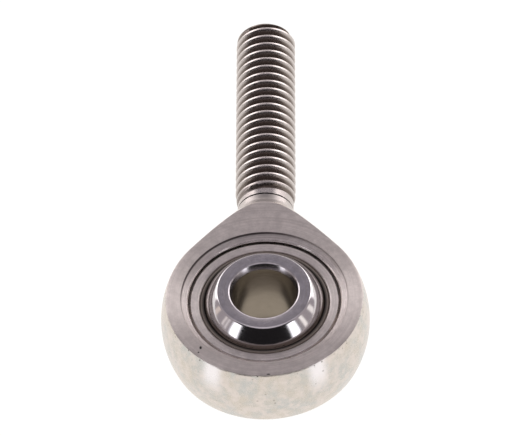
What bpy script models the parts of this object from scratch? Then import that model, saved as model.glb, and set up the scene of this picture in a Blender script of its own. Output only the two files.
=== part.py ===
"""Rod end bearing, size 6, with an M6 male thread and a lined spherical plain bearing.

The origin is the ball's centre. The bore's axis is +Z and the threaded shank points along +Y.

Four pieces, as on a bench:
  housing     ball-shaped eye, neck and threaded shank, turned from one bar
  outer_race  ring pressed into the eye and held by a lip staked over each edge
  liner       thin low-friction lining between the race and the ball
  ball        truncated ball with the pin's bore
"""

import math

import bmesh
import bpy

MM = 0.001

# Eye and neck
HEAD_RADIUS = 10.0 * MM
HOUSING_WIDTH = 6.9 * MM
NECK_CONE_ANGLE = math.radians(38)
NECK_RADIUS = 2.70 * MM
SHANK_REACH = 36.0 * MM

# M6 x 1 thread, right hand
THREAD_PITCH = 1.0 * MM
THREAD_START = 13.2 * MM
THREAD_CREST_RADIUS = 2.95 * MM
THREAD_ROOT_RADIUS = 2.39 * MM
THREAD_CREST_WIDTH = 0.125 * THREAD_PITCH
THREAD_ROOT_WIDTH = 0.25 * THREAD_PITCH
THREAD_RUN_OUT = 1.6 * MM
FIRST_CREST = 13.85 * MM
TIP_RADIUS = 2.38 * MM

# Ball
BALL_RADIUS = 6.35 * MM
BALL_WIDTH = 9.0 * MM
BORE_RADIUS = 3.0 * MM
CHAMFER_ACROSS = 0.32 * MM
CHAMFER_DOWN = 0.60 * MM

# Liner and race, each a little clear of its neighbour
RUNNING_GAP = 0.035 * MM
LINER_THICKNESS = 0.27 * MM
LINER_HALF_WIDTH = 2.70 * MM
RACE_GAP = 0.04 * MM
RACE_HALF_WIDTH = 2.78 * MM
RACE_OUTER_RADIUS = 7.9 * MM
RACE_FACE_RADIUS = 7.03 * MM

# Recess in each face of the eye: a small step, a cone inwards, and the staked lip; depths are below the face
SEAT_GAP = 0.05 * MM
STEP_RADIUS = 8.00 * MM
STEP_FOOT = (7.95 * MM, 0.14 * MM)
LIP_TOP = (7.42 * MM, 0.46 * MM)
LIP_TIP = (7.30 * MM, 0.60 * MM)

# Facets
AROUND_BALL = 48
AROUND_HEAD = 64
AROUND_THREAD = AROUND_HEAD // 2
HEAD_STEPS = 22
BALL_STEPS = 12
LINER_STEPS = 8
WELD = 0.0005 * MM
CUTTER_MARGIN = 1.0 * MM


def clear_scene():
    for obj in list(bpy.data.objects):
        bpy.data.objects.remove(obj, do_unlink=True)


def principled(name, colour, roughness, metallic=1.0):
    """A Principled material with one colour, roughness and metallic value."""
    material = bpy.data.materials.new(name)
    material.use_nodes = True
    shader = material.node_tree.nodes["Principled BSDF"]
    shader.inputs["Base Color"].default_value = (*colour, 1.0)
    shader.inputs["Roughness"].default_value = roughness
    shader.inputs["Metallic"].default_value = metallic
    material.diffuse_color = (*colour, 1.0)
    return material


def satin_steel():
    return principled("satin_steel", (0.50, 0.47, 0.46), 0.38)


def turned_steel():
    return principled("turned_steel", (0.55, 0.52, 0.52), 0.32)


def liner_fabric():
    return principled("liner_fabric", (0.10, 0.08, 0.065), 0.70, metallic=0.0)


def polished_steel():
    return principled("polished_steel", (0.62, 0.60, 0.61), 0.08)


def add_object(name, bm, material=None):
    """Turn a bmesh into a named object at the origin, shaded smooth with its corners kept."""
    bmesh.ops.remove_doubles(bm, verts=bm.verts, dist=WELD)
    bmesh.ops.recalc_face_normals(bm, faces=bm.faces)
    mesh = bpy.data.meshes.new(name)
    bm.to_mesh(mesh)
    bm.free()
    mesh.shade_smooth()
    mesh.set_sharp_from_angle(angle=math.radians(30))
    if material:
        mesh.materials.append(material)
    obj = bpy.data.objects.new(name, mesh)
    bpy.context.collection.objects.link(obj)
    return obj


def arc(radius, z_from, z_to, steps):
    """Points (r, z) on a sphere about the origin, equally spaced in angle."""
    start = math.asin(z_from / radius)
    sweep = math.asin(z_to / radius) - start
    angles = [start + sweep * i / steps for i in range(steps + 1)]
    return [(radius * math.cos(a), radius * math.sin(a)) for a in angles]


def mirrored(half):
    """A profile's upper half followed by its mirror image below z = 0."""
    return half + [(r, -z) for r, z in reversed(half)]


def turned(name, profile, material=None):
    """A ring turned about Z from a closed profile of (r, z) corners."""
    bm = bmesh.new()
    corners = [bm.verts.new((r, 0.0, z)) for r, z in profile]
    edges = [bm.edges.new((corners[i - 1], corners[i])) for i in range(len(corners))]
    bmesh.ops.spin(
        bm,
        geom=corners + edges,
        cent=(0, 0, 0),
        axis=(0, 0, 1),
        angle=2 * math.pi,
        steps=AROUND_BALL,
        use_merge=True,
    )
    return add_object(name, bm, material)


def ring(bm, radius, y, count):
    """Vertices of a circle about the shank's axis, from +Z round towards +X."""
    turns = [2 * math.pi * i / count for i in range(count)]
    return [bm.verts.new((radius * math.sin(t), y, radius * math.cos(t))) for t in turns]


def join_rings(bm, near, far):
    """Faces between two rings of the same count, or from one ring to one of half its count."""
    share = len(near) // len(far)
    for i, corner in enumerate(far):
        following = far[(i + 1) % len(far)]
        fan = [near[(i * share + k) % len(near)] for k in range(share + 1)]
        if share == 1:
            bm.faces.new((fan[0], fan[1], following, corner))
        else:
            bm.faces.new((fan[0], fan[1], corner))
            bm.faces.new((fan[1], following, corner))
            bm.faces.new((fan[1], fan[2], following))


def neck_profile():
    """(radius, y) from the eye's sphere, along the cone that touches it, to the plain neck."""
    first = -math.pi / 2
    sweep = NECK_CONE_ANGLE - first
    angles = [first + sweep * i / HEAD_STEPS for i in range(1, HEAD_STEPS + 1)]
    sphere = [(HEAD_RADIUS * math.cos(a), HEAD_RADIUS * math.sin(a)) for a in angles]
    cone_end = (HEAD_RADIUS - NECK_RADIUS * math.cos(NECK_CONE_ANGLE)) / math.sin(NECK_CONE_ANGLE)
    return sphere + [(NECK_RADIUS, cone_end)]


def thread_radius(y, crest):
    """Radius of a crest or a root at height y, with the run-out at the neck and the tip's chamfer."""
    full = THREAD_CREST_RADIUS if crest else THREAD_ROOT_RADIUS
    grown = min(1.0, (y - THREAD_START) / THREAD_RUN_OUT)
    radius = NECK_RADIUS + (full - NECK_RADIUS) * grown
    chamfer = TIP_RADIUS + SHANK_REACH - y
    return min(radius, chamfer)


def thread_row(bm, y_at_start, crest):
    """One helical line of vertices, a full turn long, held between the neck and the tip."""
    row = []
    for i in range(AROUND_THREAD + 1):
        turn = i / AROUND_THREAD
        y = min(max(y_at_start + turn * THREAD_PITCH, THREAD_START), SHANK_REACH)
        radius = thread_radius(y, crest)
        angle = 2 * math.pi * turn
        row.append(bm.verts.new((radius * math.sin(angle), y, radius * math.cos(angle))))
    return row


def add_thread(bm):
    """The right-hand thread as a grid: two lines on each crest and two on each root."""
    half_crest = THREAD_CREST_WIDTH / 2
    half_root = THREAD_ROOT_WIDTH / 2
    half_pitch = THREAD_PITCH / 2
    lines = (
        (-half_crest, True),
        (half_crest, True),
        (half_pitch - half_root, False),
        (half_pitch + half_root, False),
    )
    first = -math.ceil((FIRST_CREST - THREAD_START) / THREAD_PITCH) - 1
    last = math.ceil((SHANK_REACH - FIRST_CREST) / THREAD_PITCH) + 1
    rows = []
    for k in range(first, last + 1):
        for offset, crest in lines:
            rows.append(thread_row(bm, FIRST_CREST + k * THREAD_PITCH + offset, crest))
    for near, far in zip(rows, rows[1:]):
        for i in range(AROUND_THREAD):
            bm.faces.new((near[i], near[i + 1], far[i + 1], far[i]))


def housing_blank(material):
    """The eye's full sphere, the neck cone and the threaded shank as one closed skin."""
    bm = bmesh.new()
    rings = [ring(bm, radius, y, AROUND_HEAD) for radius, y in neck_profile()]
    pole = bm.verts.new((0, -HEAD_RADIUS, 0))
    for i in range(AROUND_HEAD):
        bm.faces.new((pole, rings[0][i - 1], rings[0][i]))
    for near, far in zip(rings, rings[1:]):
        join_rings(bm, near, far)
    join_rings(bm, rings[-1], ring(bm, NECK_RADIUS, THREAD_START, AROUND_THREAD))
    add_thread(bm)
    bm.faces.new(ring(bm, TIP_RADIUS, SHANK_REACH, AROUND_THREAD))
    return add_object("housing", bm, material)


def as_cutter(obj):
    obj.hide_render = True
    obj.display_type = "WIRE"
    return obj


def face_slab():
    """The space between the eye's two flat faces."""
    bm = bmesh.new()
    bmesh.ops.create_cube(bm, size=1.0)
    reach = 2 * (SHANK_REACH + CUTTER_MARGIN)
    bmesh.ops.scale(bm, vec=(reach, reach, HOUSING_WIDTH), verts=bm.verts)
    return as_cutter(add_object("face_slab", bm))


def eye_cutter():
    """The eye's bore: a recess below each face, the staked lip, and the seat behind it."""
    face = HOUSING_WIDTH / 2
    race_corner = RACE_FACE_RADIUS + RACE_HALF_WIDTH
    seat_radius = RACE_OUTER_RADIUS + SEAT_GAP
    seat_height = race_corner + SEAT_GAP * math.sqrt(2) - seat_radius
    upper = [(0.0, face + CUTTER_MARGIN), (STEP_RADIUS, face + CUTTER_MARGIN), (STEP_RADIUS, face)]
    upper += [(radius, face - depth) for radius, depth in (STEP_FOOT, LIP_TOP, LIP_TIP)]
    upper.append((seat_radius, seat_height))
    return as_cutter(turned("eye_cutter", mirrored(upper)))


def cut(obj, cutter, operation):
    modifier = obj.modifiers.new(cutter.name, "BOOLEAN")
    modifier.operation = operation
    modifier.solver = "EXACT"
    modifier.object = cutter


def build_housing():
    housing = housing_blank(satin_steel())
    cut(housing, face_slab(), "INTERSECT")
    cut(housing, eye_cutter(), "DIFFERENCE")
    return housing


def build_outer_race():
    """A ring with a spherical inside and chamfered outer corners."""
    inner = BALL_RADIUS + RUNNING_GAP + LINER_THICKNESS + RACE_GAP
    chamfer_foot = RACE_FACE_RADIUS + RACE_HALF_WIDTH - RACE_OUTER_RADIUS
    outside = mirrored([(RACE_FACE_RADIUS, RACE_HALF_WIDTH), (RACE_OUTER_RADIUS, chamfer_foot)])
    inside = arc(inner, -RACE_HALF_WIDTH, RACE_HALF_WIDTH, LINER_STEPS)
    return turned("outer_race", outside + inside, turned_steel())


def build_liner():
    """A thin spherical band, set back a little from the race's faces."""
    inner = BALL_RADIUS + RUNNING_GAP
    inside = arc(inner, -LINER_HALF_WIDTH, LINER_HALF_WIDTH, LINER_STEPS)
    outside = arc(inner + LINER_THICKNESS, LINER_HALF_WIDTH, -LINER_HALF_WIDTH, LINER_STEPS)
    return turned("liner", inside + outside, liner_fabric())


def build_ball():
    """A ball cut off flat at both ends, with a chamfered bore."""
    half = BALL_WIDTH / 2
    outside = arc(BALL_RADIUS, -half, half, BALL_STEPS)
    inside = mirrored([(BORE_RADIUS + CHAMFER_ACROSS, half), (BORE_RADIUS, half - CHAMFER_DOWN)])
    return turned("ball", outside + inside, polished_steel())


def main():
    clear_scene()
    build_housing()
    build_outer_race()
    build_liner()
    build_ball()


main()
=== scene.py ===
"""Rod end bearing: the detailed pieces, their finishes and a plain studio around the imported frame.

Lengths are in metres unless a comment says otherwise. The frame's origin is the ball's centre, +Z runs
along the bore and +Y along the threaded shank. Each of the four pieces stands for one CAD node, at the
same size.
"""
import math

import bmesh
import bpy
from mathutils import Matrix, Vector


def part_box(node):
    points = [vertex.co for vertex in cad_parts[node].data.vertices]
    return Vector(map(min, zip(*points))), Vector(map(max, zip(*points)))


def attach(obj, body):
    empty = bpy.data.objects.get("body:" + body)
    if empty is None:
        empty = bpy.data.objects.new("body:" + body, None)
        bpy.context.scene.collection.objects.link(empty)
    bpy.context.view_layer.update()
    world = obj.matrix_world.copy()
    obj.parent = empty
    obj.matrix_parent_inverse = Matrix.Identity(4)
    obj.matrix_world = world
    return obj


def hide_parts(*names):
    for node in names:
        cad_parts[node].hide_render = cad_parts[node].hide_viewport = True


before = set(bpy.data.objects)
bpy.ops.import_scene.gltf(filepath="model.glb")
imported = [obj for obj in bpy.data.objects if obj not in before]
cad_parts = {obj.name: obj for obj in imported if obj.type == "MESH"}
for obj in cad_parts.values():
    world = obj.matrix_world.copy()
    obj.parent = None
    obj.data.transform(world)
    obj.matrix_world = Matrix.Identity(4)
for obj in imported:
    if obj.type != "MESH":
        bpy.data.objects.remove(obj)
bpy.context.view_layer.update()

MM = 0.001
DEGREES = 180 / math.pi
UP = Vector((0, 0, 1))

# Sizes read from the frame
HOUSING_LOW, HOUSING_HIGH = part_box("housing")
BALL_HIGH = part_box("ball")[1]
RACE_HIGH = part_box("outer_race")[1]
LINER_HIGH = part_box("liner")[1]
HEAD_RADIUS = -HOUSING_LOW.y
SHANK_REACH = HOUSING_HIGH.y
HOUSING_HALF = HOUSING_HIGH.z
BALL_RADIUS = BALL_HIGH.x
BALL_HALF = BALL_HIGH.z
RACE_OUTER_RADIUS = RACE_HIGH.x
RACE_HALF = RACE_HIGH.z
LINER_OUTER_RADIUS = LINER_HIGH.x
LINER_HALF = LINER_HIGH.z

# Eye and neck
NECK_CONE_ANGLE = math.radians(38)
NECK_RADIUS = 2.70 * MM
NECK_FILLET = 0.7 * MM
FACE_EDGE_BREAK = 0.10 * MM

# M6 x 1 thread, right hand
PITCH = 1.0 * MM
THREAD_START = 13.6 * MM
FIRST_CREST = 13.85 * MM
CREST_RADIUS = 2.95 * MM
ROOT_RADIUS = 2.39 * MM
ROOT_ROUND = 0.13 * MM
CREST_ROUND = 0.03 * MM
FLANK_ANGLE = math.radians(60)
GROOVE_RUN_OUT = 1.15 * MM
CREST_RUN_OUT = 1.75 * MM
TIP_RADIUS = 2.38 * MM

# Undercut just before the thread: (distance from the thread's start, depth)
UNDERCUT = ((0.17 * MM, 0), (0.11 * MM, 0.09 * MM), (0.05 * MM, 0.09 * MM), (0, 0))

# The shank's end, from its edge to its turned centre: (radius, depth)
TIP_RINGS = ((TIP_RADIUS, 0), (1.6 * MM, 0), (0.55 * MM, 0), (0.50 * MM, 0.05 * MM), (0.2 * MM, 0.2 * MM))
TIP_CENTRE_DEPTH = 0.25 * MM

# Recess in each face of the eye; the pairs are (radius, depth below the face)
STEP_RADIUS = 8.00 * MM
STEP_FOOT = (7.95 * MM, 0.14 * MM)
LIP_TOP = (7.42 * MM, 0.46 * MM)
LIP_TIP = (7.30 * MM, 0.60 * MM)
RACE_FACE_RADIUS = 7.03 * MM
SEAT_GAP = 0.05 * MM
TOOL_RINGS = (7.76 * MM, 7.58 * MM)
TOOL_RING_DEPTH = 0.012 * MM
TOOL_RING_HALF_WIDTH = 0.02 * MM
STEP_ROUND = 0.02 * MM
LIP_ROUND = 0.04 * MM

# Ball, liner and race
BORE_RADIUS = 3.0 * MM
CHAMFER_ACROSS = 0.32 * MM
CHAMFER_DOWN = 0.60 * MM
CHAMFER_TOP_ROUND = 0.24 * MM
CHAMFER_FOOT_ROUND = 0.15 * MM
BALL_RIM_BREAK = 0.05 * MM
BALL_FACE_ROUND = 0.03 * MM
RACE_GAP = 0.04 * MM
LINER_THICKNESS = 0.27 * MM
EDGE_BREAK = 0.04 * MM
RIM_ROUND = 0.20 * MM

# Facets
AROUND = 192
SIDE_ROWS = 32
HEAD_COLUMNS = 84
CONE_COLUMNS = 34
FACE_ROWS = 3
CONE_ROWS = 4
ARC_STEPS = 4
FILLET_STEPS = 6
CREST_STEPS = 3
ROOT_STEPS = 4
LINER_STEPS = 24
BALL_STEPS = 56
SHARP_ANGLE = math.radians(40)
WELD = 0.0003 * MM

# View; the lens and the sensor are in millimetres
LENS = 297.3
SENSOR = 36.0
NEAR_CLIP = 10 * MM
VIEW_DISTANCE = 413.1 * MM
VIEW_ELEVATION = math.radians(50.53)
VIEW_SIDE = 0.427 * MM
VIEW_RISE = -9.72 * MM
PART_TURN = math.radians(-0.11)
PART_LEAN = math.radians(-1.94)


# ---------------------------------------------------------------- mesh helpers


def finish_mesh(name, bm, materials):
    bmesh.ops.remove_doubles(bm, verts=bm.verts, dist=WELD)
    bmesh.ops.recalc_face_normals(bm, faces=bm.faces)
    mesh = bpy.data.meshes.new(name)
    bm.to_mesh(mesh)
    bm.free()
    mesh.shade_smooth()
    mesh.set_sharp_from_angle(angle=SHARP_ANGLE)
    for material in materials:
        mesh.materials.append(material)
    obj = bpy.data.objects.new(name, mesh)
    bpy.context.collection.objects.link(obj)
    return obj


def add_face(bm, corners, material_index):
    """A face from its corners, leaving out the ones that coincide."""
    kept = []
    for corner in corners:
        if all((corner.co - other.co).length > WELD for other in kept):
            kept.append(corner)
    if len(kept) < 3:
        return
    face = bm.faces.new(kept)
    face.material_index = material_index


def join_lines(bm, near, far, indices):
    """Faces between two lines of as many vertices each; indices gives each gap's material."""
    for i in range(len(near) - 1):
        add_face(bm, (near[i], near[i + 1], far[i + 1], far[i]), indices[i])


def rounded_corner(before, corner, after, radius, steps=ARC_STEPS):
    """Points of an arc of that radius that rounds the corner of a profile off."""
    into = (before - corner).normalized()
    out = (after - corner).normalized()
    half = into.angle(out) / 2
    reach = radius / math.tan(half)
    centre = corner + (into + out).normalized() * (radius / math.sin(half))
    start = corner + into * reach - centre
    end = corner + out * reach - centre
    sweep = start.angle(end)
    points = []
    for i in range(steps + 1):
        t = i / steps
        share = (math.sin((1 - t) * sweep) * start + math.sin(t * sweep) * end) / math.sin(sweep)
        points.append(centre + share)
    return points


def rounded_profile(corners, closed=False):
    """A profile through (r, z, radius, material) corners, with each corner rounded by its radius.

    Returns [(r, z)] and the material index of the stretch that follows each point.
    """
    points = []
    indices = []
    last = len(corners) - 1
    for i, (r, z, radius, material) in enumerate(corners):
        corner = Vector((r, z))
        inner = closed or 0 < i < last
        if radius > 0 and inner:
            before = Vector(corners[i - 1][:2])
            after = Vector(corners[(i + 1) % len(corners)][:2])
            arc = rounded_corner(before, corner, after, radius)
        else:
            arc = [corner]
        points.extend((p.x, p.y) for p in arc)
        indices.extend([material] * len(arc))
    return points, indices


def mirrored(half):
    """A profile's upper half, then its mirror image below z = 0, keeping each stretch's material."""
    lower = []
    for i in range(len(half) - 1, -1, -1):
        r, z, radius, _ = half[i]
        material = half[i - 1][3] if i else half[0][3]
        lower.append((r, -z, radius, material))
    return half + lower


def sphere_arc(radius, z_from, z_to, steps):
    start = math.asin(z_from / radius)
    sweep = math.asin(z_to / radius) - start
    angles = [start + sweep * i / steps for i in range(steps + 1)]
    return [(radius * math.cos(a), radius * math.sin(a)) for a in angles]


def turned(name, profile, indices, materials):
    """A ring turned about Z from a closed profile of (r, z) points."""
    bm = bmesh.new()
    lines = []
    for k in range(AROUND):
        angle = 2 * math.pi * k / AROUND
        line = [bm.verts.new((r * math.cos(angle), r * math.sin(angle), z)) for r, z in profile]
        lines.append(line + line[:1])
    for k in range(AROUND):
        join_lines(bm, lines[k], lines[(k + 1) % AROUND], indices)
    return finish_mesh(name, bm, materials)


# ---------------------------------------------------------------- housing


FACE, SIDE, THREAD, RECESS, LIP, NECK = range(6)
SHANK_AROUND = 2 * SIDE_ROWS

# The cone touches the eye's sphere in a seam at TANGENT_Y, which the face's rim meets at RIM_TANGENT_TURN
SIN_CONE = math.sin(NECK_CONE_ANGLE)
COS_CONE = math.cos(NECK_CONE_ANGLE)
TANGENT_Y = HEAD_RADIUS * SIN_CONE
RIM_RADIUS = math.sqrt(HEAD_RADIUS**2 - HOUSING_HALF**2)
RIM_TANGENT_TURN = math.asin(TANGENT_Y / RIM_RADIUS)

# Power of their share by which the columns bend towards the seam
SEAM_BEND = 3


def cone_radius(y):
    """Radius, about the shank's axis, of the cone that touches the eye's sphere."""
    return (HEAD_RADIUS - y * SIN_CONE) / COS_CONE


def face_edge(corner, side_normal):
    """The rounded edge between the flat face and the side, from the face outwards."""
    centre = corner - FACE_EDGE_BREAK * (UP + side_normal) / (1 + UP.dot(side_normal))
    sweep = UP.angle(side_normal)
    points = []
    for i in range(ARC_STEPS + 1):
        t = i / ARC_STEPS
        share = math.sin((1 - t) * sweep) * UP + math.sin(t * sweep) * side_normal
        points.append(centre + FACE_EDGE_BREAK * share / math.sin(sweep))
    return points


def sphere_column(share):
    """Edge and side points of a column over the eye's sphere; share is 0 at the front, 1 at the cone.

    The column is upright at the front, and bends to lie in the cone's seam as the share nears 1.
    """
    azimuth = -math.pi / 2 + (RIM_TANGENT_TURN + math.pi / 2) * share
    corner = Vector((RIM_RADIUS * math.cos(azimuth), RIM_RADIUS * math.sin(azimuth), HOUSING_HALF))
    edge = face_edge(corner, corner.normalized())
    top = edge[-1]
    top_elevation = math.asin(top.z / HEAD_RADIUS)
    top_turn = math.asin(TANGENT_Y / (HEAD_RADIUS * math.cos(top_elevation)))
    side = []
    for j in range(1, SIDE_ROWS):
        elevation = top_elevation * (1 - 2 * j / SIDE_ROWS)
        radius = HEAD_RADIUS * math.cos(elevation)
        turn = azimuth - share**SEAM_BEND * (top_turn - math.asin(TANGENT_Y / radius))
        height = HEAD_RADIUS * math.sin(elevation)
        side.append(Vector((radius * math.cos(turn), radius * math.sin(turn), height)))
    return edge, side


def cone_column(share):
    """Edge and side points of a column over the cone; share is 0 at the sphere, 1 at the face's tip."""
    azimuth = RIM_TANGENT_TURN + (math.pi / 2 - RIM_TANGENT_TURN) * share
    across, along = math.cos(azimuth), math.sin(azimuth)
    # The face's plane meets the cone where a * reach**2 + b * reach + c = 0
    a = (COS_CONE * across) ** 2 - (SIN_CONE * along) ** 2
    b = 2 * HEAD_RADIUS * SIN_CONE * along
    c = (COS_CONE * HOUSING_HALF) ** 2 - HEAD_RADIUS**2
    reach = 2 * -c / (b + math.sqrt(b * b - 4 * a * c))
    corner = Vector((reach * across, reach * along, HOUSING_HALF))
    round_angle = math.atan2(corner.x, corner.z)
    normal = Vector((COS_CONE * math.sin(round_angle), SIN_CONE, COS_CONE * math.cos(round_angle)))
    edge = face_edge(corner, normal)
    top = edge[-1]
    radius = math.hypot(top.x, top.z)
    first_angle = math.atan2(max(top.x, 0.0), top.z)
    side = []
    for j in range(1, SIDE_ROWS):
        angle = first_angle + (math.pi - 2 * first_angle) * j / SIDE_ROWS
        side.append(Vector((radius * math.sin(angle), top.y, radius * math.cos(angle))))
    return edge, side


def recess_profile():
    """Half of the eye's opening: a step, a cone with two tool rings, the staked lip, and the seat."""
    seat_radius = RACE_OUTER_RADIUS + SEAT_GAP
    seat_height = RACE_FACE_RADIUS + RACE_HALF + SEAT_GAP * math.sqrt(2) - seat_radius
    foot, top, tip = (Vector((r, HOUSING_HALF - depth)) for r, depth in (STEP_FOOT, LIP_TOP, LIP_TIP))
    corners = [(STEP_RADIUS, HOUSING_HALF, STEP_ROUND, RECESS), (foot.x, foot.y, STEP_ROUND, RECESS)]
    for radius in TOOL_RINGS:
        for shift, depth in ((TOOL_RING_HALF_WIDTH, 0), (0, TOOL_RING_DEPTH), (-TOOL_RING_HALF_WIDTH, 0)):
            share = (foot.x - radius - shift) / (foot.x - top.x)
            point = foot.lerp(top, share)
            corners.append((point.x, point.y - depth, 0, RECESS))
    corners.append((top.x, top.y, LIP_ROUND, LIP))
    corners.append((tip.x, tip.y, STEP_ROUND, SIDE))
    corners.append((seat_radius, seat_height, 0, SIDE))
    return corners


def eye_opening():
    """The whole opening's points and materials, downwards, without the faces that it starts and ends in."""
    upper = (HEAD_RADIUS, HOUSING_HALF, 0, FACE)
    lower = (HEAD_RADIUS, -HOUSING_HALF, 0, FACE)
    points, indices = rounded_profile([upper] + mirrored(recess_profile()) + [lower])
    return points[1:-1], indices[1:-1]


def head_column(edge, side, opening):
    """One closed loop of points: face, edge, side, lower edge and face, and the opening upwards."""
    flip = Matrix.Diagonal((1, 1, -1))
    start = edge[0]
    direction = Vector((start.x, start.y, 0)).normalized()
    rim = start.xy.length
    inner = opening[0][0]
    face = []
    for i in range(1, FACE_ROWS + 1):
        radius = inner + (rim - inner) * i / (FACE_ROWS + 1)
        face.append(direction * radius + UP * HOUSING_HALF)
    upper = face + edge
    lower = [flip @ point for point in reversed(upper)]
    inside = [direction * r + UP * z for r, z in reversed(opening)]
    return upper + side + lower + inside


def loop_indices(edge_count, opening_indices):
    """Material of the stretch that follows each point of a head column."""
    upper = [FACE] * (FACE_ROWS + edge_count - 1) + [SIDE]
    side = [SIDE] * (SIDE_ROWS - 1)
    lower = [FACE] * (edge_count + FACE_ROWS)
    inside = list(reversed(opening_indices))
    inside = inside[1:] + [FACE]
    return upper + side + lower + inside


def neck_stations(first_y):
    """(radius, y) down the cone, round the fillet into the neck, and through the undercut to the thread."""
    corner_y = (HEAD_RADIUS - NECK_RADIUS * COS_CONE) / SIN_CONE
    before = Vector((cone_radius(first_y), first_y))
    corner = Vector((NECK_RADIUS, corner_y))
    after = Vector((NECK_RADIUS, THREAD_START))
    bend = rounded_corner(before, corner, after, NECK_FILLET, FILLET_STEPS)
    down = [before.lerp(bend[0], i / CONE_ROWS) for i in range(1, CONE_ROWS)]
    undercut = [(NECK_RADIUS - depth, THREAD_START - distance) for distance, depth in UNDERCUT]
    return [(p.x, p.y) for p in down + bend] + undercut


def root_point(slope):
    """(offset along the axis, radius) of the point of the rounded root that has that slope."""
    return PITCH / 2 - ROOT_ROUND * math.sin(slope), ROOT_RADIUS + ROOT_ROUND * (1 - math.cos(slope))


def thread_profile():
    """(offset along the axis, radius) over one pitch, from one crest's middle to the next."""
    foot_y, foot_radius = root_point(FLANK_ANGLE)
    crest_half = foot_y - (CREST_RADIUS - foot_radius) / math.tan(FLANK_ANGLE)
    crest = rounded_corner(
        Vector((0, CREST_RADIUS)),
        Vector((crest_half, CREST_RADIUS)),
        Vector((foot_y, foot_radius)),
        CREST_ROUND,
        CREST_STEPS,
    )
    half = [(p.x, p.y) for p in crest]
    half.append(((half[-1][0] + foot_y) / 2, (half[-1][1] + foot_radius) / 2))
    half += [root_point(FLANK_ANGLE * (1 - i / ROOT_STEPS)) for i in range(ROOT_STEPS + 1)]
    return half + [(PITCH - y, r) for y, r in reversed(half[:-1])]


def thread_point(y, full_radius, angle):
    """A point of the thread, held between the neck and the tip, with the run-out and the chamfer."""
    y = min(max(y, THREAD_START), SHANK_REACH)
    raised = min(1.0, (y - THREAD_START) / CREST_RUN_OUT)
    missing = 1 - min(1.0, (y - THREAD_START) / GROOVE_RUN_OUT)
    crest = NECK_RADIUS + (CREST_RADIUS - NECK_RADIUS) * raised
    cut = CREST_RADIUS - full_radius - (CREST_RADIUS - ROOT_RADIUS) * missing
    radius = min(crest - max(cut, 0), TIP_RADIUS + SHANK_REACH - y)
    return radius * math.sin(angle), y, radius * math.cos(angle)


def add_thread(bm):
    """The helical skin from the neck to the tip, in rows that follow the crests."""
    profile = thread_profile()
    first = -math.ceil((FIRST_CREST - THREAD_START) / PITCH) - 1
    last = math.ceil((SHANK_REACH - FIRST_CREST) / PITCH) + 1
    previous = None
    for k in range(first, last + 1):
        for offset, full_radius in profile:
            row = []
            for i in range(SHANK_AROUND + 1):
                turn = i / SHANK_AROUND
                y = FIRST_CREST + (k + turn) * PITCH + offset
                row.append(bm.verts.new(thread_point(y, full_radius, 2 * math.pi * turn)))
            if previous:
                join_lines(bm, previous, row, [THREAD] * SHANK_AROUND)
            previous = row


def add_tip(bm):
    """The shank's end: a flat with a shallow turned centre."""
    rings = []
    for radius, depth in TIP_RINGS:
        ring = []
        for i in range(SHANK_AROUND + 1):
            angle = 2 * math.pi * i / SHANK_AROUND
            point = (radius * math.sin(angle), SHANK_REACH - depth, radius * math.cos(angle))
            ring.append(bm.verts.new(point))
        if rings:
            join_lines(bm, rings[-1], ring, [SIDE] * SHANK_AROUND)
        rings.append(ring)
    centre = bm.verts.new((0, SHANK_REACH - TIP_CENTRE_DEPTH, 0))
    for i in range(SHANK_AROUND):
        add_face(bm, (rings[-1][i], rings[-1][i + 1], centre), SIDE)


def neck_row(bm, sign, radius, y):
    """Half a ring about the shank's axis, from its top to its bottom."""
    angles = [math.pi * j / SIDE_ROWS for j in range(SIDE_ROWS + 1)]
    return [bm.verts.new((sign * radius * math.sin(a), y, radius * math.cos(a))) for a in angles]


def build_housing(materials):
    bm = bmesh.new()
    opening, opening_indices = eye_opening()
    columns = [sphere_column(i / HEAD_COLUMNS) for i in range(HEAD_COLUMNS + 1)]
    columns += [cone_column(i / CONE_COLUMNS) for i in range(1, CONE_COLUMNS + 1)]
    indices = loop_indices(ARC_STEPS + 1, opening_indices)
    top = columns[-1][0][-1]
    for sign in (1, -1):
        flip = Matrix.Diagonal((sign, 1, 1))
        previous = None
        for edge, side in columns:
            loop = [bm.verts.new(flip @ point) for point in head_column(edge, side, opening)]
            loop.append(loop[0])
            if previous:
                join_lines(bm, previous, loop, indices)
            previous = loop
        start = FACE_ROWS + ARC_STEPS
        previous = previous[start : start + SIDE_ROWS + 1]
        for radius, y in neck_stations(top.y):
            row = neck_row(bm, sign, radius, y)
            join_lines(bm, previous, row, [NECK] * SIDE_ROWS)
            previous = row
    add_thread(bm)
    add_tip(bm)
    return finish_mesh("housing_steel_body", bm, materials)


# ---------------------------------------------------------------- race, liner and ball


RACE_FACE, RACE_EDGE = range(2)


def build_race(materials):
    inner = LINER_OUTER_RADIUS + RACE_GAP
    foot = RACE_FACE_RADIUS + RACE_HALF - RACE_OUTER_RADIUS
    inside = sphere_arc(inner, -RACE_HALF, RACE_HALF, LINER_STEPS)
    corners = [(r, z, 0, RACE_EDGE) for r, z in inside[1:-1]]
    rim = inside[-1][0]
    corners.append((rim, RACE_HALF, RIM_ROUND, RACE_FACE))
    corners.append((RACE_FACE_RADIUS, RACE_HALF, EDGE_BREAK, RACE_EDGE))
    corners.append((RACE_OUTER_RADIUS, foot, EDGE_BREAK, RACE_EDGE))
    corners.append((RACE_OUTER_RADIUS, -foot, EDGE_BREAK, RACE_EDGE))
    corners.append((RACE_FACE_RADIUS, -RACE_HALF, EDGE_BREAK, RACE_FACE))
    corners.append((rim, -RACE_HALF, RIM_ROUND, RACE_EDGE))
    points, indices = rounded_profile(corners, closed=True)
    return turned("race_ring", points, indices, materials)


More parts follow.
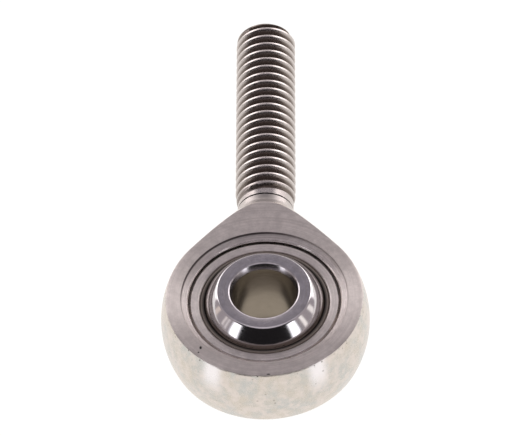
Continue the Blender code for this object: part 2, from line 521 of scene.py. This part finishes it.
def build_liner(materials):
    outer = LINER_OUTER_RADIUS
    inner = outer - LINER_THICKNESS
    points = sphere_arc(inner, -LINER_HALF, LINER_HALF, LINER_STEPS)
    points += sphere_arc(outer, LINER_HALF, -LINER_HALF, LINER_STEPS)
    return turned("liner_band", points, [0] * len(points), materials)


SPHERE, END_FACE, CHAMFER, BORE = range(4)


def build_ball(materials):
    rim = math.sqrt(BALL_RADIUS**2 - BALL_HALF**2)
    break_angle = BALL_RIM_BREAK / BALL_RADIUS
    limit = math.asin(BALL_HALF / BALL_RADIUS) - break_angle
    limit_z = BALL_RADIUS * math.sin(limit)
    corners = [(r, z, 0, SPHERE) for r, z in sphere_arc(BALL_RADIUS, -limit_z, limit_z, BALL_STEPS)]
    half = [
        (rim - BALL_FACE_ROUND, BALL_HALF, BALL_FACE_ROUND, END_FACE),
        (BORE_RADIUS + CHAMFER_ACROSS, BALL_HALF, CHAMFER_TOP_ROUND, CHAMFER),
        (BORE_RADIUS, BALL_HALF - CHAMFER_DOWN, CHAMFER_FOOT_ROUND, BORE),
        (BORE_RADIUS, BALL_HALF / 3, 0, BORE),
    ]
    corners += mirrored(half)
    # What follows the last corner closes the profile on the sphere
    r, z, radius, _ = corners[-1]
    corners[-1] = (r, z, radius, SPHERE)
    points, indices = rounded_profile(corners, closed=True)
    return turned("ball_ring", points, indices, materials)


# ---------------------------------------------------------------- node helpers


# Radius, in noise cells, of the circle that turned lines are drawn round
CHANGE_AROUND = 0.35

# Share of a pit's radius that is at its full depth
PIT_FLOOR = 0.3


def set_inputs(node, values):
    for name, value in values.items():
        socket = node.inputs[name]
        if isinstance(value, bpy.types.NodeSocket):
            node.id_data.links.new(value, socket)
        else:
            socket.default_value = value


def add_node(tree, kind, values=None, **settings):
    node = tree.nodes.new(kind)
    for name, value in settings.items():
        setattr(node, name, value)
    set_inputs(node, values or {})
    return node


def math_node(tree, operation, *values):
    node = add_node(tree, "ShaderNodeMath", dict(enumerate(values)), operation=operation)
    return node.outputs[0]


def vector_math(tree, operation, *values):
    node = add_node(tree, "ShaderNodeVectorMath", dict(enumerate(values)), operation=operation)
    return node.outputs["Value" if operation == "LENGTH" else "Vector"]


def remap(tree, value, low, high, to_low=0.0, to_high=1.0):
    """The value carried smoothly from one range to another, and held at its ends."""
    values = {"Value": value, "From Min": low, "From Max": high, "To Min": to_low, "To Max": to_high}
    return add_node(tree, "ShaderNodeMapRange", values, interpolation_type="SMOOTHSTEP").outputs[0]


def band(tree, value, centre, width, soft):
    """1 inside a band of that full width about the centre, falling to 0 over soft."""
    offset = math_node(tree, "ABSOLUTE", math_node(tree, "SUBTRACT", value, centre))
    return remap(tree, offset, width / 2 + soft / 2, width / 2 - soft / 2)


def mix_colour(tree, share, first, second):
    node = add_node(tree, "ShaderNodeMix", {0: share, 6: first, 7: second}, data_type="RGBA")
    return node.outputs[2]


def colour(r, g, b):
    return (r, g, b, 1.0)


def noise(tree, vector, scale, detail, roughness):
    values = {"Vector": vector, "Scale": scale, "Detail": detail, "Roughness": roughness}
    return add_node(tree, "ShaderNodeTexNoise", values).outputs["Fac"]


def millimetres(tree):
    """Object coordinates in millimetres."""
    place = add_node(tree, "ShaderNodeTexCoord").outputs["Object"]
    node = add_node(tree, "ShaderNodeVectorMath", {0: place, "Scale": 1 / MM}, operation="SCALE")
    return node.outputs["Vector"]


def split(tree, vector):
    node = add_node(tree, "ShaderNodeSeparateXYZ", {0: vector})
    return node.outputs[0], node.outputs[1], node.outputs[2]


def join(tree, x, y, z):
    return add_node(tree, "ShaderNodeCombineXYZ", {0: x, 1: y, 2: z}).outputs[0]


def axis_distance(tree, a, b):
    """Distance from an axis, from the two coordinates across it."""
    return vector_math(tree, "LENGTH", join(tree, a, b, 0.0))


def turning_lines(tree, place, density):
    """Fine concentric lines about Z: noise that is dense along the radius and long round it."""
    x, y, _ = split(tree, place)
    angle = math_node(tree, "ARCTAN2", y, x)
    along = math_node(tree, "MULTIPLY", math_node(tree, "COSINE", angle), CHANGE_AROUND)
    across = math_node(tree, "MULTIPLY", math_node(tree, "SINE", angle), CHANGE_AROUND)
    lines = join(tree, math_node(tree, "MULTIPLY", axis_distance(tree, x, y), density), along, across)
    return noise(tree, lines, 1.0, 3.0, 0.6)


def tangent(tree, direction):
    """A direction of the object, given to the shader as the way its highlights spread."""
    node = add_node(
        tree,
        "ShaderNodeVectorTransform",
        {0: direction},
        vector_type="VECTOR",
        convert_from="OBJECT",
        convert_to="WORLD",
    )
    return vector_math(tree, "NORMALIZE", node.outputs[0])


def pits(tree, place, scale, size, share):
    """Sparse small pits: 1 in a pit and 0 elsewhere."""
    values = {"Vector": place, "Scale": scale, "Randomness": 1.0}
    cells = add_node(tree, "ShaderNodeTexVoronoi", values, feature="F1")
    dots = remap(tree, cells.outputs["Distance"], size, PIT_FLOOR * size)
    pick = split(tree, cells.outputs["Color"])[0]
    chosen = math_node(tree, "LESS_THAN", pick, share)
    return math_node(tree, "MULTIPLY", dots, chosen)


def bump(tree, height, strength, distance):
    values = {"Height": height, "Strength": strength, "Distance": distance}
    return add_node(tree, "ShaderNodeBump", values).outputs[0]


def new_material(name, metallic):
    material = bpy.data.materials.new(name)
    material.use_nodes = True
    shader = material.node_tree.nodes["Principled BSDF"]
    shader.inputs["Metallic"].default_value = metallic
    return material, material.node_tree, shader


# ---------------------------------------------------------------- materials


# Places and sizes in the materials are in millimetres, and bump heights in metres.

METAL = 1.0
METAL_WITH_HAZE = 0.75
NOT_METAL = 0.0

STEEL = colour(0.62, 0.565, 0.535)
STEEL_DARK = colour(0.50, 0.455, 0.43)
RECESS_TINT = colour(0.56, 0.51, 0.49)
LIP_TINT = colour(0.70, 0.65, 0.62)
RACE_TINT = colour(0.66, 0.605, 0.575)
RACE_EDGE_TINT = colour(0.69, 0.63, 0.60)
BALL_FACE_TINT = colour(0.64, 0.60, 0.62)
CHAMFER_TINT = colour(0.52, 0.49, 0.51)
WARM_GREY = colour(0.63, 0.57, 0.495)
COOL_GREY = colour(0.55, 0.545, 0.515)
PALE_GREY = colour(0.73, 0.655, 0.60)
SPECKLE = colour(0.50, 0.46, 0.42)
# Near-white of the two painted highlights on the side
HIGHLIGHT_BRIGHT = colour(0.93, 0.89, 0.90)
PIT_DARK = colour(0.16, 0.14, 0.125)
UNDER_EDGE_DARK = colour(0.12, 0.10, 0.09)
# Painted shade along the neck's top and bottom
NECK_SHADE_STEEL = colour(0.22, 0.20, 0.19)
# Painted shade in the undercut's groove
UNDERCUT_SHADE = colour(0.04, 0.035, 0.035)
NICK = colour(0.05, 0.045, 0.04)
# Painted shade for the recess's corner
CORNER_SHADE = colour(0.06, 0.05, 0.05)

# Ring of painted shade in the corner at the foot of the recess's step: radius, full width and softness
CORNER_SHADE_RING = (STEP_FOOT[0] / MM, 0.14, 0.08)

# Painted highlights on the side: their directions from +X, width and softness, in degrees
HIGHLIGHT_TURNS = (-121, -58.5)
HIGHLIGHT_WIDTH = 10
HIGHLIGHT_SOFT = 7

# Woven threads in one turn of the lining's edge
THREADS_AROUND = 180

# Small dark nicks in the upper face: centre and half-size
FACE_SPOTS = (
    ((-6.0, -5.95, 3.45), (0.14, 0.22, 0.5)),
    ((-6.2, -6.5, 3.45), (0.10, 0.10, 0.5)),
    ((0.4, -9.25, 3.45), (0.22, 0.08, 0.5)),
)


def speck(tree, place, centre, size):
    """1 in a small oval spot about a centre, and 0 elsewhere."""
    offset = vector_math(tree, "SUBTRACT", place, centre)
    share = vector_math(tree, "DIVIDE", offset, size)
    return remap(tree, vector_math(tree, "LENGTH", share), 1.0, 0.6)


def corner_shade(tree, x, y):
    """A ring of painted shade in the recess's corner, thickest towards the shank and to the left."""
    thick = math_node(tree, "MULTIPLY", remap(tree, x, -1, 6, 0.9, 0.2), remap(tree, y, -3, 4, 0.3, 1.0))
    return math_node(tree, "MULTIPLY", band(tree, axis_distance(tree, x, y), *CORNER_SHADE_RING), thick)


def turned_steel(
    name, tint, roughness, anisotropy, density, line_height, spots=(), shaded_corner=False, metallic=METAL
):
    """A faced or turned flat: concentric lines and a highlight that spreads along the radius.

    Density is how many noise cells the lines cross in a millimetre, and spots are small dark nicks.
    """
    material, tree, shader = new_material(name, metallic)
    place = millimetres(tree)
    x, y, _ = split(tree, place)
    lines = turning_lines(tree, place, density)
    cloud = noise(tree, place, 1.1, 5.0, 0.75)
    dark, light = (colour(*(share * level for level in tint[:3])) for share in (0.86, 1.12))
    shade = mix_colour(tree, remap(tree, cloud, 0.3, 0.7), dark, light)
    shade = mix_colour(tree, remap(tree, lines, 0.35, 0.65, 0.0, 0.45), shade, STEEL_DARK)
    for centre, size in spots:
        shade = mix_colour(tree, speck(tree, place, centre, size), shade, NICK)
    # Painted shade in the recess's corner
    if shaded_corner:
        shade = mix_colour(tree, corner_shade(tree, x, y), shade, CORNER_SHADE)
    values = {
        "Base Color": shade,
        "Roughness": remap(tree, lines, 0.3, 0.7, roughness - 0.03, roughness + 0.04),
        "Anisotropic": anisotropy,
        "Tangent": tangent(tree, join(tree, x, y, 0.0)),
        "Normal": bump(tree, lines, 0.35, line_height),
    }
    set_inputs(shader, values)
    return material


def painted_highlights(tree, x, y, z):
    """1 in two upright patches of painted highlight on the side, fading out downwards."""
    angle = math_node(tree, "MULTIPLY", math_node(tree, "ARCTAN2", y, x), DEGREES)
    first, second = (band(tree, angle, turn, HIGHLIGHT_WIDTH, HIGHLIGHT_SOFT) for turn in HIGHLIGHT_TURNS)
    return math_node(tree, "MULTIPLY", math_node(tree, "ADD", first, second), remap(tree, z, -0.6, 2.6))


def side_marks(tree, place, z):
    """Sparse pits over the side, and denser ones near its upper edge."""
    holes = pits(tree, place, 1.3, 0.2, 0.22)
    edge_marks = math_node(tree, "MULTIPLY", pits(tree, place, 2.6, 0.3, 0.45), remap(tree, z, 2.7, 3.3))
    return math_node(tree, "MAXIMUM", math_node(tree, "MULTIPLY", holes, 0.45), edge_marks)


def side_steel():
    """The eye's round side: pale, softly mottled in warm and cool greys, with pits and two painted
    highlights.
    """
    material, tree, shader = new_material("housing_side", METAL)
    place = millimetres(tree)
    x, y, z = split(tree, place)
    broad = noise(tree, place, 0.45, 3.0, 0.55)
    cloud = noise(tree, vector_math(tree, "ADD", place, (17.0, 5.0, 9.0)), 1.1, 4.0, 0.6)
    fine = noise(tree, place, 3.2, 3.0, 0.6)
    shade = mix_colour(tree, remap(tree, broad, 0.35, 0.65), WARM_GREY, COOL_GREY)
    shade = mix_colour(tree, remap(tree, cloud, 0.38, 0.68), shade, PALE_GREY)
    shade = mix_colour(tree, remap(tree, fine, 0.5, 0.8, 0.0, 0.4), shade, SPECKLE)
    # Two painted highlights, fading out downwards
    painted_light = math_node(tree, "MULTIPLY", painted_highlights(tree, x, y, z), 0.85)
    shade = mix_colour(tree, painted_light, shade, HIGHLIGHT_BRIGHT)
    marks = side_marks(tree, place, z)
    shade = mix_colour(tree, marks, shade, PIT_DARK)
    under_edge = math_node(tree, "MULTIPLY", remap(tree, z, 3.22, 3.36), remap(tree, y, -7.6, -9.0))
    under_edge = math_node(tree, "MULTIPLY", under_edge, remap(tree, cloud, 0.36, 0.56, 0.1, 0.75))
    shade = mix_colour(tree, under_edge, shade, UNDER_EDGE_DARK)
    height = math_node(tree, "SUBTRACT", cloud, math_node(tree, "MULTIPLY", marks, 0.8))
    values = {
        "Base Color": shade,
        "Roughness": remap(tree, cloud, 0.3, 0.7, 0.24, 0.34),
        "Normal": bump(tree, height, 0.4, 0.03 * MM),
    }
    set_inputs(shader, values)
    return material


def neck_steel():
    """The neck: fine lines turned round the shank's axis, and a strip of painted shade along the top and
    bottom.
    """
    material, tree, shader = new_material("housing_neck", METAL)
    place = millimetres(tree)
    x, _, z = split(tree, place)
    lines = noise(tree, vector_math(tree, "MULTIPLY", place, (0.3, 7.0, 0.3)), 1.0, 3.0, 0.6)
    shade = mix_colour(tree, remap(tree, lines, 0.35, 0.65, 0.0, 0.3), STEEL, STEEL_DARK)
    # Painted shade along the top and bottom, where x is small
    painted_shade = remap(tree, math_node(tree, "ABSOLUTE", x), 2.0, 0.8, 0.0, 0.75)
    shade = mix_colour(tree, painted_shade, shade, NECK_SHADE_STEEL)
    radius = NECK_RADIUS / MM
    # Painted shade in the undercut's groove
    undercut = remap(tree, axis_distance(tree, x, z), radius - 0.015, radius - 0.04)
    shade = mix_colour(tree, undercut, shade, UNDERCUT_SHADE)
    values = {
        "Base Color": shade,
        "Roughness": 0.40,
        "Anisotropic": 0.4,
        "Tangent": tangent(tree, (0.0, 1.0, 0.0)),
        "Normal": bump(tree, lines, 0.35, 0.03 * MM),
    }
    set_inputs(shader, values)
    return material


def thread_steel():
    """The thread: satin flanks, darker and browner in the roots, partly a brown film and partly painted
    shade.
    """
    material, tree, shader = new_material("housing_thread", METAL)
    place = millimetres(tree)
    x, y, z = split(tree, place)
    grain = noise(tree, place, 7.0, 3.0, 0.6)
    level = math_node(tree, "ADD", axis_distance(tree, x, z), math_node(tree, "MULTIPLY", grain, 0.12))
    # Darker in the roots: partly a brown film, partly painted shade
    depth = math_node(tree, "MULTIPLY", remap(tree, level, 3.0, 2.72), remap(tree, y, 14.0, 14.5))
    shade = mix_colour(tree, depth, STEEL, colour(0.20, 0.165, 0.145))
    values = {
        "Base Color": shade,
        "Roughness": remap(tree, grain, 0.3, 0.7, 0.24, 0.36),
        "Normal": bump(tree, grain, 0.3, 0.01 * MM),
    }
    set_inputs(shader, values)
    return material


def liner_fabric():
    """The lining's edge: fine woven threads in dark resin, near-black towards the ball as painted shade of
    the gap.
    """
    material, tree, shader = new_material("liner_fabric", NOT_METAL)
    place = millimetres(tree)
    x, y, _ = split(tree, place)
    angle = math_node(tree, "ARCTAN2", y, x)
    weave = math_node(tree, "SINE", math_node(tree, "MULTIPLY", angle, THREADS_AROUND))
    grain = noise(tree, place, 9.0, 3.0, 0.6)
    # Near-black towards the ball is painted shade; the brown further out is the lining's own colour
    pale = remap(tree, axis_distance(tree, x, y), 5.78, 6.12)
    painted_light = math_node(tree, "ADD", pale, math_node(tree, "MULTIPLY", grain, 0.1))
    shade = mix_colour(tree, painted_light, colour(0.012, 0.010, 0.008), colour(0.26, 0.22, 0.19))
    height = math_node(tree, "ADD", weave, grain)
    values = {
        "Base Color": shade,
        "Roughness": 0.7,
        "Specular IOR Level": 0.2,
        "Normal": bump(tree, height, 0.5, 0.01 * MM),
    }
    set_inputs(shader, values)
    return material


def mirror_steel():
    """The ball's polished sphere, with the faintest haze of fine scratches, and low down a brown film that
    is partly grease and partly painted shade by the lining's edge.
    """
    material, tree, shader = new_material("ball_sphere", METAL)
    place = millimetres(tree)
    haze = noise(tree, place, 3.0, 5.0, 0.7)
    shade = mix_colour(tree, haze, colour(0.66, 0.63, 0.64), colour(0.72, 0.69, 0.69))
    height = math_node(tree, "ABSOLUTE", split(tree, place)[2])
    # Darker towards the lining: partly grease, partly painted shade
    film_and_shade = remap(tree, height, 3.22, 2.98)
    shade = mix_colour(tree, film_and_shade, shade, colour(0.20, 0.17, 0.15))
    values = {
        "Base Color": shade,
        "Roughness": remap(tree, haze, 0.3, 0.7, 0.09, 0.13),
        "Normal": bump(tree, haze, 0.05, 0.002 * MM),
    }
    set_inputs(shader, values)
    return material


def bore_steel():
    """The bore's wall: fine lines round it from turning and honing, and a warm tint."""
    material, tree, shader = new_material("ball_bore", METAL)
    place = millimetres(tree)
    lines = noise(tree, vector_math(tree, "MULTIPLY", place, (0.4, 0.4, 9.0)), 1.0, 3.0, 0.6)
    cloud = noise(tree, place, 1.6, 4.0, 0.6)
    shade = mix_colour(tree, cloud, colour(0.54, 0.51, 0.46), colour(0.64, 0.605, 0.55))
    values = {
        "Base Color": shade,
        "Roughness": remap(tree, lines, 0.3, 0.7, 0.16, 0.26),
        "Normal": bump(tree, lines, 0.3, 0.006 * MM),
    }
    set_inputs(shader, values)
    return material


def housing_materials():
    return [
        turned_steel("housing_face", STEEL, 0.48, 0.85, 5.0, 0.06 * MM, FACE_SPOTS),
        side_steel(),
        thread_steel(),
        turned_steel("housing_recess", RECESS_TINT, 0.46, 0.3, 7.0, 0.03 * MM, shaded_corner=True),
        turned_steel("housing_lip", LIP_TINT, 0.22, 0.3, 12.0, 0.004 * MM, metallic=METAL_WITH_HAZE),
        neck_steel(),
    ]


def race_materials():
    return [
        turned_steel("race_face", RACE_TINT, 0.42, 0.7, 7.0, 0.02 * MM),
        turned_steel("race_edge", RACE_EDGE_TINT, 0.2, 0.3, 12.0, 0.003 * MM, metallic=METAL_WITH_HAZE),
    ]


def ball_materials():
    return [
        mirror_steel(),
        turned_steel("ball_face", BALL_FACE_TINT, 0.16, 0.2, 14.0, 0.003 * MM),
        turned_steel("ball_chamfer", CHAMFER_TINT, 0.22, 0.2, 14.0, 0.002 * MM),
        bore_steel(),
    ]


# ---------------------------------------------------------------- stage


FLOOR_HALF_SIZE = 3.0

# The shaded ground under the bore, in millimetres: where it ends, and the lighter pool's centre along Y,
# flattening and radii
SHADE_END = (3.5, 3.9)
POOL_CENTRE = 0.6
POOL_FLATTENING = 1.15
POOL_RADII = (2.4, 1.65)


def build_floor():
    """A white sweep that glows evenly, except where the bore shades it."""
    bm = bmesh.new()
    bmesh.ops.create_grid(bm, x_segments=1, y_segments=1, size=FLOOR_HALF_SIZE)
    bmesh.ops.translate(bm, vec=(0, 0, -BALL_HALF), verts=bm.verts)
    mesh = bpy.data.meshes.new("floor")
    bm.to_mesh(mesh)
    bm.free()
    floor = bpy.data.objects.new("floor", mesh)
    bpy.context.collection.objects.link(floor)
    material, tree, shader = new_material("floor_white", NOT_METAL)
    x, y, _ = split(tree, millimetres(tree))
    beyond = math_node(tree, "MULTIPLY", math_node(tree, "SUBTRACT", y, POOL_CENTRE), POOL_FLATTENING)
    pool = remap(tree, axis_distance(tree, x, beyond), *POOL_RADII)
    near, far = colour(0.15, 0.125, 0.105), colour(0.045, 0.037, 0.03)
    shaded = mix_colour(tree, remap(tree, y, 0.2, 1.0), near, far)
    shaded = mix_colour(tree, pool, shaded, colour(0.42, 0.37, 0.315))
    lit = remap(tree, axis_distance(tree, x, y), *SHADE_END)
    values = {
        "Base Color": colour(0.12, 0.12, 0.12),
        "Roughness": 0.9,
        "Specular IOR Level": 0.0,
        "Emission Color": mix_colour(tree, lit, shaded, colour(1.0, 0.99, 0.975)),
        "Emission Strength": 0.99,
    }
    set_inputs(shader, values)
    mesh.materials.append(material)


# Two softboxes, then the dimmer strips beside them: azimuth, elevation, width, height and edge softness,
# in degrees, and radiance
STRIPS = (
    (54.6, 18, 15, 30, 8, (2.6, 2.6, 2.75)),
    (-55.6, 17.5, 15, 29, 8, (2.6, 2.6, 2.75)),
    (76, 14, 7, 22, 3, (1.25, 1.20, 1.16)),
    (100, 9, 9, 16, 4, (1.15, 1.10, 1.07)),
    (-73, 14, 4, 20, 3, (0.85, 0.80, 0.80)),
    (-80, 13, 4, 18, 3, (0.95, 0.88, 0.86)),
    (-101, 8, 8, 16, 4, (0.85, 0.74, 0.68)),
)

# The room from the dark front round to the back: the turn, in degrees, over which each part begins, and
# its radiance
FRONT = (0.014, 0.013, 0.014)
ROOM = (
    ((62, 68), (0.40, 0.36, 0.38)),
    ((114, 124), (2.55, 2.46, 2.5)),
    ((148, 162), (1.3, 1.23, 1.26)),
)

# The ceiling: the elevations over which it begins and brightens, and the turn over which its front begins
CEILING_START = (43, 48)
CEILING_RISE = (57, 76)
CEILING_LOW = colour(0.28, 0.265, 0.30)
CEILING_HIGH = colour(0.50, 0.47, 0.51)
CEILING_FRONT_START = (110, 70)
CEILING_FRONT = colour(0.62, 0.58, 0.63)

# The ceiling comes lower behind: the turn over which it does, and by how many degrees
CEILING_DROP_TURN = (80, 110)
CEILING_DROP = 3.0


def build_world():
    """A pale sweep behind, a grey ceiling, dim sides with strips, and a dark front with two softboxes."""
    world = bpy.data.worlds.new("studio")
    world.use_nodes = True
    bpy.context.scene.world = world
    tree = world.node_tree
    direction = add_node(tree, "ShaderNodeTexCoord").outputs["Generated"]
    x, y, z = split(tree, direction)
    elevation = math_node(tree, "MULTIPLY", math_node(tree, "ARCSINE", z), DEGREES)
    azimuth = math_node(tree, "ARCTAN2", x, math_node(tree, "MULTIPLY", y, -1.0))
    azimuth = math_node(tree, "MULTIPLY", azimuth, DEGREES)
    turn = math_node(tree, "ABSOLUTE", azimuth)
    ceiling = mix_colour(tree, remap(tree, elevation, *CEILING_RISE), CEILING_LOW, CEILING_HIGH)
    ceiling = mix_colour(tree, remap(tree, turn, *CEILING_FRONT_START), ceiling, CEILING_FRONT)
    around = colour(*FRONT)
    for start, radiance in ROOM:
        around = mix_colour(tree, remap(tree, turn, *start), around, colour(*radiance))
    for place, level, width, height, soft, radiance in STRIPS:
        share = band(tree, azimuth, place, width, soft)
        share = math_node(tree, "MULTIPLY", share, band(tree, elevation, level, height, soft))
        around = mix_colour(tree, share, around, colour(*radiance))
    lifted = math_node(tree, "ADD", elevation, remap(tree, turn, *CEILING_DROP_TURN, 0.0, CEILING_DROP))
    around = mix_colour(tree, remap(tree, lifted, *CEILING_START), around, ceiling)
    camera_ray = add_node(tree, "ShaderNodeLightPath").outputs["Is Camera Ray"]
    seen = mix_colour(tree, camera_ray, around, colour(1.0, 1.0, 1.0))
    set_inputs(tree.nodes["Background"], {"Color": seen, "Strength": 1.0})


def build_camera():
    """The camera, moved the opposite way to the part's own small turn and lean."""
    lean = Matrix.Rotation(PART_TURN, 3, "Z") @ Matrix.Rotation(PART_LEAN, 3, "Y")
    right = Vector((1, 0, 0))
    forward = Vector((0, math.cos(VIEW_ELEVATION), -math.sin(VIEW_ELEVATION)))
    above = right.cross(forward)
    place = -(VIEW_SIDE * right + VIEW_RISE * above + VIEW_DISTANCE * forward)
    undo = lean.inverted()
    axes = Matrix((undo @ right, undo @ above, undo @ -forward)).transposed()
    data = bpy.data.cameras.new("camera")
    data.lens = LENS
    data.sensor_fit = "HORIZONTAL"
    data.sensor_width = SENSOR
    data.clip_start = NEAR_CLIP
    camera = bpy.data.objects.new("camera", data)
    camera.matrix_world = Matrix.Translation(undo @ place) @ axes.to_4x4()
    bpy.context.collection.objects.link(camera)
    bpy.context.scene.camera = camera


# ---------------------------------------------------------------- assembly


def place_piece(piece, node, body):
    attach(piece, body)
    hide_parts(node)


def main():
    build_camera()
    build_world()
    build_floor()
    place_piece(build_housing(housing_materials()), "housing", "eye")
    place_piece(build_race(race_materials()), "outer_race", "eye")
    place_piece(build_liner([liner_fabric()]), "liner", "lining")
    place_piece(build_ball(ball_materials()), "ball", "ball")
    bpy.context.scene.view_settings.view_transform = "Standard"


main()
